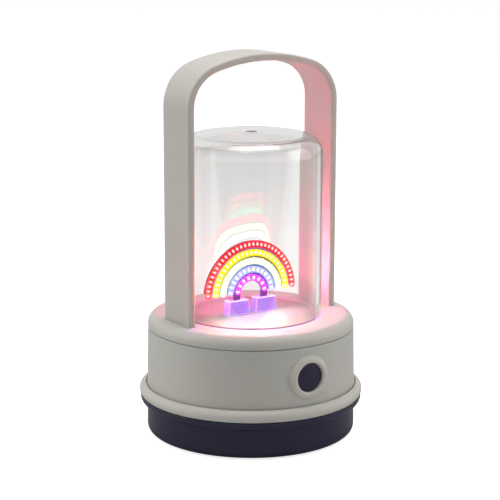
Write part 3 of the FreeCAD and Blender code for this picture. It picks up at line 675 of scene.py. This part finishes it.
def seen_straight(nodes, links):
    """1 where a lit surface is looked at straight or through clear plastic, 0 where its light falls on things."""
    ray = nodes.new("ShaderNodeLightPath").outputs
    direct = reckon(nodes, links, "MAXIMUM", ray["Is Camera Ray"], ray["Is Transmission Ray"])
    return reckon(nodes, links, "SUBTRACT", direct, ray["Glossy Depth"], clamp=True)


def arch_reach(nodes, links):
    """Distance from the centre of the rainbow's arch, and the place measured from there."""
    centred = nodes.new("ShaderNodeMapping")
    centred.inputs["Location"].default_value = (0, 0, -arc_height * mm)
    centred.inputs["Scale"].default_value = (1, 0, 1)
    reach = nodes.new("ShaderNodeVectorMath")
    reach.operation = "LENGTH"
    links.new(on_piece(nodes), centred.inputs["Vector"])
    links.new(centred.outputs["Vector"], reach.inputs[0])
    return reach.outputs["Value"], centred.outputs["Vector"]


def banded(nodes, links, value, stops):
    """Rings of flat colour, each from its own share of the board's width outwards."""
    ramp = nodes.new("ShaderNodeValToRGB")
    bands = ramp.color_ramp
    bands.interpolation = "CONSTANT"
    bands.elements.remove(bands.elements[1])
    bands.elements[0].color = (*stops[0][1], 1)
    for share, colour in stops[1:]:
        bands.elements.new(share).color = (*colour, 1)
    links.new(value, ramp.inputs["Fac"])
    return ramp.outputs["Color"]


painted_band_stops = [(0.0, painted_back_bands[0])]
painted_gap_stops = [(0.0, unlit)]
for i, painted_gap_light in enumerate(painted_gap_lights):
    gap = first_gap + i * band_step
    painted_band_stops += [(gap, unlit), (gap + gap_width, painted_back_bands[i + 1])]
    painted_gap_stops += [(gap, painted_gap_light), (gap + gap_width, unlit)]

board_mask = moulded_plastic("board_mask", (0.006, 0.004, 0.007), (0.004, 0.003, 0.005), 0.50, 900.0, 0.1, 0.1)
nodes, links, surface = workings(board_mask)
board_place = along(nodes, links, on_piece(nodes))
board_span = ranged(nodes, links, arch_reach(nodes, links)[0], (board_inner * mm, board_outer * mm))
above_legs = ranged(nodes, links, board_place["Z"], ((arc_height + 0.4) * mm, (arc_height + 1.2) * mm))
at_back = ranged(nodes, links, board_place["Y"], (0.4 * board_thickness * mm, 0.6 * board_thickness * mm))
# Painted glow on the back: pink-violet light thrown behind, and the rows' colour bands where it is seen in
# reflections.
mirrored = nodes.new("ShaderNodeLightPath").outputs["Is Glossy Ray"]
painted_front_light = banded(nodes, links, board_span, painted_gap_stops)
painted_back_light = blend(nodes, links, mirrored, painted_back_cast, banded(nodes, links, board_span, painted_band_stops))
both_sides = blend(nodes, links, at_back, painted_front_light, painted_back_light)
# Painted violet glow on the legs below the arch.
painted_board_glow = blend(nodes, links, above_legs, painted_leg_glow, both_sides)
board_level = ranged(nodes, links, seen_straight(nodes, links), to=(6.0, 1.0))
links.new(painted_board_glow, surface.inputs["Emission Color"])
links.new(board_level, surface.inputs["Emission Strength"])

bpy.ops.object.select_all(action="DESELECT")
bpy.ops.mesh.primitive_plane_add(size=1)
board = bpy.context.object
board.name = "rainbow_board_plate"
board.rotation_euler = (math.pi / 2, 0, 0)
board.scale = ((leg_outer - board_inner) * mm, (arc_height + board_lift - leg_foot) * mm, 1)
board.location = ((leg_outer + board_inner) / 2 * mm, 0, (arc_height + board_lift + leg_foot) / 2 * mm)
bpy.ops.object.transform_apply(location=True, rotation=True, scale=True)
bpy.ops.object.mode_set(mode="EDIT")
pick(board, "VERT", lambda point: point.z > arc_height and point.x > leg_outer - 0.01)
to_rim = ((board_outer - leg_outer) * mm, 0, end_rise * mm)
bpy.ops.mesh.extrude_vertices_move(TRANSFORM_OT_translate={"value": to_rim})
pick(board, "EDGE", lambda point: point.z > arc_height)
board_sweep = math.pi - 2 * math.atan2(board_lift, leg_outer)
bpy.ops.mesh.spin(steps=72, angle=board_sweep, center=(0, 0, arc_height * mm), axis=(0, 1, 0))
mesh = bmesh.from_edit_mesh(board.data)
last_leg = [edge for edge in mesh.edges
            if edge.select and max(abs(vertex.co.x) for vertex in edge.verts) < leg_outer * 1.01 * mm]
bpy.ops.mesh.select_all(action="DESELECT")
for edge in last_leg:
    edge.select_set(True)
bmesh.update_edit_mesh(board.data)
bpy.ops.mesh.extrude_edges_move(TRANSFORM_OT_translate={"value": (0, 0, -1 * mm)})
bpy.ops.transform.resize(value=(1, 1, 0), center_override=(0, 0, leg_foot * mm))
bpy.ops.mesh.select_mode(type="FACE")
bpy.ops.mesh.select_all(action="SELECT")
bpy.ops.mesh.extrude_region_move(TRANSFORM_OT_translate={"value": (0, board_thickness * mm, 0)})
close_mesh(board)
place(board, board_mask, "lamp", "board_mask", "rainbow_board")

# Light tubes: five arched strips of milky silicone with rounded ends and a channel
# in the back, pressed over the light rows on the board. Each glows in its own colour,
# and the outermost and innermost also shine from their side walls.
half_tube = 1.4
tube_depth = 1.2
tube_round = 0.7
channel_depth = 0.7
channel_wall = 0.5
milkiness = 0.45
tube_gloss = 0.35


def wall_light(nodes, links, face, wall, crest, wall_from, wall_to):
    """Light of a tube whose side wall differs from its face, and changes from the arch's ends to its crest."""
    reach, centred = arch_reach(nodes, links)
    at_wall = ranged(nodes, links, reach, (wall_from * mm, wall_to * mm))
    mirrored = nodes.new("ShaderNodeLightPath").outputs["Is Glossy Ray"]
    lit = reckon(nodes, links, "SUBTRACT", at_wall, mirrored, clamp=True)
    rise = ranged(nodes, links, along(nodes, links, centred)["Z"], (0.0, wall_from * mm))
    return blend(nodes, links, lit, face, blend(nodes, links, rise, wall, crest))


def lit_tube(name, base, seen, face, *side):
    """Milky silicone lit from inside, with the colour that is seen and the light that it casts."""
    material, nodes, links, surface = new_finish(name)
    surface.inputs["Base Color"].default_value = (*base, 1)
    surface.inputs["Roughness"].default_value = tube_gloss
    surface.inputs["Specular IOR Level"].default_value = 0.0
    surface.inputs["Alpha"].default_value = milkiness
    surface.inputs["Emission Strength"].default_value = 1.0
    cast = wall_light(nodes, links, face, *side) if side else face
    links.new(blend(nodes, links, seen_straight(nodes, links), cast, seen), surface.inputs["Emission Color"])
    return material


violet_light = lit_tube("violet_light", (0.012, 0.0001, 0.014), (1.85, 0.14, 2.0), (13, 11, 24),
                        (31, 48, 53), (30, 50, 52), 5.85, 5.65)
blue_light = lit_tube("blue_light", (0.004, 0.004, 0.012), (0.86, 0.90, 1.75), (13, 10, 33))
green_light = lit_tube("green_light", (0.010, 0.012, 0.007), (1.6, 1.7, 1.2), (18, 53, 21))
yellow_light = lit_tube("yellow_light", (0.012, 0.009, 0.00002), (2.0, 1.6, 0.001), (28, 9, 1.0))
red_light = lit_tube("red_light", (0.012, 0.0001, 0.00002), (2.2, 0.015, 0.001), (40, 0.02, 0.2),
                     (230, 14, 36), (870, 100, 205), 22.95, 23.15)
rows = (("violet", 7.0, 8, violet_light), ("blue", 10.7, 14, blue_light), ("green", 14.4, 19, green_light),
        ("yellow", 18.1, 25, yellow_light), ("red", 21.8, 32, red_light))

for colour, radius, count, finish in rows:
    lean = math.asin(half_tube / radius)
    end = Vector((radius * math.cos(lean), 0, arc_height + radius * math.sin(lean)))
    ahead = Vector((-math.sin(lean), 0, math.cos(lean)))
    bpy.ops.object.select_all(action="DESELECT")
    bpy.ops.mesh.primitive_circle_add(vertices=24, radius=half_tube * mm, rotation=(math.pi / 2, -lean, 0),
                                      location=end * mm)
    tube = bpy.context.object
    tube.name = colour + "_strip"
    bpy.ops.object.transform_apply(location=True, rotation=True, scale=True)
    bpy.ops.object.mode_set(mode="EDIT")
    bpy.ops.mesh.select_all(action="SELECT")
    bpy.ops.mesh.edge_face_add()
    pick(tube, "EDGE", lambda point: (point - end).dot(ahead) > -0.01)
    bpy.ops.mesh.spin(steps=80, angle=math.pi - 2 * lean, center=(0, 0, arc_height * mm), axis=(0, 1, 0))
    bpy.ops.mesh.select_mode(type="FACE")
    bpy.ops.mesh.select_all(action="SELECT")
    bpy.ops.mesh.dissolve_faces()
    bpy.ops.mesh.select_all(action="SELECT")
    bpy.ops.mesh.extrude_region_move(TRANSFORM_OT_translate={"value": (0, -tube_depth * mm, 0)})
    pick(tube, "EDGE", lambda point: point.y < 0.01 - tube_depth)
    bpy.ops.mesh.bevel(offset=tube_round * mm, segments=4, affect="EDGES")
    pick(tube, "FACE", lambda point: point.y > -0.01)
    bpy.ops.mesh.inset(thickness=channel_wall * mm)
    bpy.ops.transform.translate(value=(0, -channel_depth * mm, 0))
    close_mesh(tube)
    place(tube, finish, "lamp", colour + "_light", colour + "_tube")

# Light chips: small lamps soldered in rows on the board, one row behind each tube.
# Each is a pale block with rounded corners whose front glows; one is shaped, the rest are copies.
chip_width = 1.45
chip_height = 0.85
chip_depth = 0.5
chip_corner = 0.36
chip_cast = (58, 28, 230)
chip_echo = (16, 15, 16)
chip_seen_inside = (5.4, 5.2, 5.4)
chip_seen_outside = (3.2, 3.0, 2.8)

chip_light, nodes, links, surface = new_finish("chip_light")
surface.inputs["Base Color"].default_value = (0.02, 0.02, 0.02, 1)
surface.inputs["Specular IOR Level"].default_value = 0.0
surface.inputs["Emission Strength"].default_value = 1.0
chip_front = ranged(nodes, links, along(nodes, links, on_piece(nodes))["Y"],
                    (-0.9 * chip_depth * mm, -0.98 * chip_depth * mm))
chip_span = ranged(nodes, links, arch_reach(nodes, links)[0], (rows[0][1] * mm, rows[-1][1] * mm))
mirrored = nodes.new("ShaderNodeLightPath").outputs["Is Glossy Ray"]
front_cast = blend(nodes, links, chip_front, unlit, chip_cast)
all_cast = blend(nodes, links, mirrored, front_cast, chip_echo)
chip_seen = blend(nodes, links, chip_span, chip_seen_inside, chip_seen_outside)
chip_glow = blend(nodes, links, seen_straight(nodes, links), all_cast, chip_seen)
links.new(chip_glow, surface.inputs["Emission Color"])

pattern_chip = box_between((-chip_width / 2, -chip_depth, -chip_height / 2), (chip_width / 2, 0, chip_height / 2))
bpy.ops.object.mode_set(mode="EDIT")
bpy.ops.mesh.select_mode(type="EDGE")
bpy.ops.mesh.select_all(action="DESELECT")
mesh = bmesh.from_edit_mesh(pattern_chip.data)
for edge in mesh.edges:
    edge.select_set(abs(edge.verts[0].co.y - edge.verts[1].co.y) > 0.5 * chip_depth * mm)
bmesh.update_edit_mesh(pattern_chip.data)
bpy.ops.mesh.bevel(offset=chip_corner * mm, segments=3, affect="EDGES")
bpy.ops.object.mode_set(mode="OBJECT")
chips = []
for colour, radius, count, finish in rows:
    lean = math.asin(half_tube / radius)
    for i in range(count):
        turn = lean + (math.pi - 2 * lean) * i / (count - 1)
        chip = pattern_chip.copy()
        chip.data = pattern_chip.data.copy()
        chip.location = (radius * mm * math.cos(turn), 0, (arc_height + radius * math.sin(turn)) * mm)
        chip.rotation_euler = (0, -turn, 0)
        bpy.context.collection.objects.link(chip)
        chips.append(chip)
bpy.data.objects.remove(pattern_chip)
place(join_all(chips, "light_chips"), chip_light, "lamp", "chip_light", "led_chips")

# Dome: a tall clear cover, injection moulded with a foot flange, a rounded shoulder
# and a shallow gate mark at the middle of its crown. The cap holds it by its flange, where
# the wall has a painted violet glow; the crown has a painted pale fill for much-bounced rays.
dome_outer = 30.7
dome_wall = 2.0
dome_flange = 33.5
dome_foot = 48.9
flange_top = 50.5
shoulder = 8.0
crown_radius = 290.0
dome_top = 132.3
gate_radius = 2.4
gate_depth = 0.35
painted_foot_light = (0.42, 0.14, 0.62)
painted_crown_fill = (0.85, 0.85, 0.85)
trapped_depth = 6.5
trapped_range = 0.75

shoulder_centre = dome_outer - shoulder
crown_centre = dome_top - crown_radius
shoulder_height = crown_centre + math.sqrt((crown_radius - shoulder) ** 2 - shoulder_centre ** 2)
shoulder_turn = math.degrees(math.acos(shoulder_centre / (crown_radius - shoulder)))


def crown(radius, inset):
    """Station on the dome's shallow crown, inset by the wall for its inside."""
    return radius, crown_centre + math.sqrt((crown_radius - inset) ** 2 - radius ** 2)


dome_clear = clear_plastic("dome_clear", (0.97, 0.97, 0.965), 0.012, 1.58, 1.0)
nodes, links, surface = workings(dome_clear)
depth_tint = nodes.new("ShaderNodeVolumeAbsorption")
depth_tint.inputs["Color"].default_value = (0.05, 0.02, 0.0, 1)
depth_tint.inputs["Density"].default_value = 26.0
links.new(depth_tint.outputs["Volume"], nodes["Material Output"].inputs["Volume"])
# Painted light: a violet glow low on the wall by the flange, and a pale fill on the crown for rays that have bounced
# many times inside.
height = along(nodes, links, on_piece(nodes))["Z"]
at_foot = ranged(nodes, links, height, ((deck + 0.3) * mm, flange_top * mm))
at_crown = ranged(nodes, links, height, ((dome_top - 4.5) * mm, (dome_top - 3.5) * mm))
ray_depth = nodes.new("ShaderNodeLightPath").outputs["Ray Depth"]
trapped = reckon(nodes, links, "COMPARE", ray_depth, trapped_depth, trapped_range)
painted_crown_share = reckon(nodes, links, "MULTIPLY", at_crown, trapped)
painted_foot_glow = blend(nodes, links, at_foot, unlit, painted_foot_light)
links.new(blend(nodes, links, painted_crown_share, painted_foot_glow, painted_crown_fill), surface.inputs["Emission Color"])
surface.inputs["Emission Strength"].default_value = 1.0

inner_foot = dome_outer - dome_wall
dome = start_ring("dome_cover", inner_foot, dome_foot, 160)
grow_ring(dome, (dome_flange, dome_foot), (dome_flange, flange_top), (dome_outer, flange_top),
          *arc(shoulder_centre, shoulder_height, shoulder, 0, shoulder_turn, 14),
          *[crown(radius, 0) for radius in (19.0, 14.0, 9.0, 5.0)], crown(gate_radius, 0),
          (gate_radius, crown(gate_radius, 0)[1] - gate_depth))
bpy.ops.mesh.edge_face_add()
pick(dome, "EDGE", near_ring(inner_foot, dome_foot))
grow_ring(dome, *arc(shoulder_centre, shoulder_height, shoulder - dome_wall, 0, shoulder_turn, 14),
          *[crown(radius, dome_wall) for radius in (19.0, 14.0, 9.0, 4.0)])
bpy.ops.mesh.edge_face_add()
close_mesh(dome)
place(dome, dome_clear, "lamp", "clear_plastic", "dome")

# Top cap: the cream ring round the dome's foot, with a well rounded outer edge,
# a lip that drops into the drum's rabbet and two slots for the handle's legs.
cap_radius = 45.0
cap_hole = 31.0
cap_under = 50.5
cap_edge = 47.55
cap_round = 4.0
hole_soft = 0.35
edge_soft = 0.3
lip_outer = 43.78
lip_bottom = 43.95

cap = start_ring("cap_ring", cap_hole, cap_under)
grow_ring(cap, (cap_hole, deck), (cap_radius, deck), (cap_radius, cap_edge), (lip_outer, cap_edge),
          (lip_outer, lip_bottom), (wall_inner, lip_bottom), (wall_inner, cap_under), (cap_hole, cap_under))
round_ring(cap, cap_radius, deck, cap_round, 10)
round_ring(cap, cap_hole, deck, hole_soft, 3)
round_ring(cap, cap_radius, cap_edge, edge_soft, 3)
close_mesh(cap)
cut_leg_slots(cap, strap_outer + slot_gap, cap_under - 1, deck + 1)
place(cap, cream_plastic, "lamp", "cream_plastic", "top_cap")

# Handle: a flat strap of the same cream plastic, moulded in one bow with softened edges.
# Its legs go straight down through the cap's slots and snap under it.
strap_edge = 0.8
strap_foot = 44.9
spring_height = 144.9
corner_radius = 18.6
strap_top = 166.5

corner_centre = strap_outer - corner_radius
bow_rise = strap_top - spring_height
bow_radius = (corner_centre ** 2 + bow_rise ** 2 - corner_radius ** 2) / 2 / (bow_rise - corner_radius)
bow_centre = strap_top - bow_radius
bow_half = math.atan2(corner_centre, spring_height - bow_centre)
corner_sweep = math.pi / 2 - bow_half
leg_rise = (spring_height - strap_foot) * mm

bpy.ops.object.select_all(action="DESELECT")
bpy.ops.mesh.primitive_plane_add(size=1, location=((strap_inner + strap_outer) / 2 * mm, 0, strap_foot * mm))
strap = bpy.context.object
strap.name = "strap_handle"
strap.scale = ((strap_outer - strap_inner) * mm, 2 * strap_half_width * mm, 1)
bpy.ops.object.transform_apply(location=True, rotation=True, scale=True)
bpy.ops.object.mode_set(mode="EDIT")
bpy.ops.mesh.select_all(action="SELECT")
bpy.ops.mesh.bevel(offset=strap_edge * mm, segments=4, affect="VERTICES")
pick(strap, "EDGE", lambda point: True)
bpy.ops.mesh.extrude_edges_move(TRANSFORM_OT_translate={"value": (0, 0, leg_rise)})
for sweep, across, level in ((corner_sweep, corner_centre, spring_height), (2 * bow_half, 0, bow_centre),
                             (corner_sweep, -corner_centre, spring_height)):
    bpy.ops.mesh.spin(steps=20, angle=sweep, center=(across * mm, 0, level * mm), axis=(0, 1, 0))
bpy.ops.mesh.extrude_edges_move(TRANSFORM_OT_translate={"value": (0, 0, -leg_rise)})
bpy.ops.mesh.edge_face_add()
close_mesh(strap)
place(strap, cream_plastic, "lamp", "cream_plastic", "handle")

# Studio: a white table, a pale room, soft boxes at both sides and above, and a camera at the
# photograph's place. In reflections the table is greyer, and the room darkens low in front.
azimuth = math.radians(-32.91)
to_right = Vector((math.cos(azimuth), math.sin(azimuth), 0))
to_camera = Vector((math.sin(azimuth), -math.cos(azimuth), 0))
table_size = 14.0
table_front = 0.24
table_colour = (0.80, 0.80, 0.80)
table_in_gloss = (0.45, 0.45, 0.45)
table_lift = 0.80
table_lift_through_clear = 0.46
room_level = 0.24
room_shown = 1.0

bpy.ops.object.select_all(action="DESELECT")
bpy.ops.mesh.primitive_plane_add(size=table_size, rotation=(0, 0, azimuth),
                                 location=(table_front - table_size / 2) * to_camera)
table = bpy.context.object
table.name = "white_table"
bpy.ops.object.transform_apply(location=True, rotation=True, scale=True)
table_white, nodes, links, surface = new_finish("table_white")
surface.inputs["Roughness"].default_value = 0.9
surface.inputs["Specular IOR Level"].default_value = 0.0
surface.inputs["Emission Color"].default_value = (1, 1, 1, 1)
ray = nodes.new("ShaderNodeLightPath").outputs
in_gloss = reckon(nodes, links, "SUBTRACT", ray["Is Glossy Ray"], ray["Is Transmission Ray"], clamp=True)
through_clear = reckon(nodes, links, "MULTIPLY", ray["Is Transmission Ray"], table_lift_through_clear)
lift = reckon(nodes, links, "MULTIPLY_ADD", ray["Is Camera Ray"], table_lift, through_clear)
links.new(blend(nodes, links, in_gloss, table_colour, table_in_gloss), surface.inputs["Base Color"])
links.new(lift, surface.inputs["Emission Strength"])
table.data.materials.append(table_white)

room = bpy.data.worlds.new("pale_room")
bpy.context.scene.world = room
room.use_nodes = True
nodes = room.node_tree.nodes
links = room.node_tree.links
nodes["Background"].inputs["Color"].default_value = (1, 1, 1, 1)
ray = nodes.new("ShaderNodeLightPath").outputs
way_out = nodes.new("ShaderNodeTexCoord").outputs["Generated"]
to_front = nodes.new("ShaderNodeVectorMath")
to_front.operation = "DOT_PRODUCT"
to_front.inputs[1].default_value = to_camera
links.new(way_out, to_front.inputs[0])
below = ranged(nodes, links, along(nodes, links, way_out)["Z"], (0.02, -0.06))
low_in_front = reckon(nodes, links, "MULTIPLY", to_front.outputs["Value"], below)
echo = reckon(nodes, links, "MULTIPLY", low_in_front, ray["Glossy Depth"])
room_in_gloss = ranged(nodes, links, echo, (-0.1, 0.7), (0.95, 0.06))
room_lit = blend(nodes, links, ray["Is Glossy Ray"], room_level, room_in_gloss, "FLOAT")
room_seen = blend(nodes, links, ray["Is Camera Ray"], room_lit, room_shown, "FLOAT")
links.new(room_seen, nodes["Background"].inputs["Strength"])


def soft_box(name, side, back, height, width, tall, power):
    """A soft box placed from the camera's point of view and turned to the lamp's middle."""
    data = bpy.data.lights.new(name, "AREA")
    data.shape = "RECTANGLE"
    data.size = width
    data.size_y = tall
    data.energy = power
    light = bpy.data.objects.new(name, data)
    bpy.context.collection.objects.link(light)
    light.location = side * to_right + back * to_camera + Vector((0, 0, height))
    aim = Vector((0, 0, 0.08)) - light.location
    light.rotation_euler = aim.to_track_quat("-Z", "Y").to_euler()


soft_box("left_box", -0.75, 0.0, 0.30, 0.6, 0.8, 2.3)
soft_box("right_box", 0.75, 0.0, 0.30, 0.6, 0.8, 1.9)
soft_box("top_box", 0.0, 0.0, 1.0, 0.8, 0.8, 6.6)

photo_width = 500
focal_pixels = 1657.55
camera_distance = 0.70351
camera_height = 0.23239
camera_pan = 0.037
camera_dip = 12.19
camera_roll = 0.162

camera_data = bpy.data.cameras.new("photo_camera")
camera_data.sensor_width = 36.0
camera_data.lens = camera_data.sensor_width * focal_pixels / photo_width
camera_data.clip_start = 0.05
camera_data.clip_end = 60.0
camera = bpy.data.objects.new("photo_camera", camera_data)
bpy.context.collection.objects.link(camera)
stand = Matrix.Translation(camera_distance * to_camera + Vector((0, 0, camera_height)))
heading = Matrix.Rotation(azimuth + math.radians(camera_pan), 4, "Z")
tilt = Matrix.Rotation(math.radians(90 - camera_dip), 4, "X")
roll = Matrix.Rotation(math.radians(camera_roll), 4, "Z")
camera.matrix_world = stand @ heading @ tilt @ roll
bpy.context.scene.camera = camera

bpy.context.scene.view_settings.view_transform = "Standard"
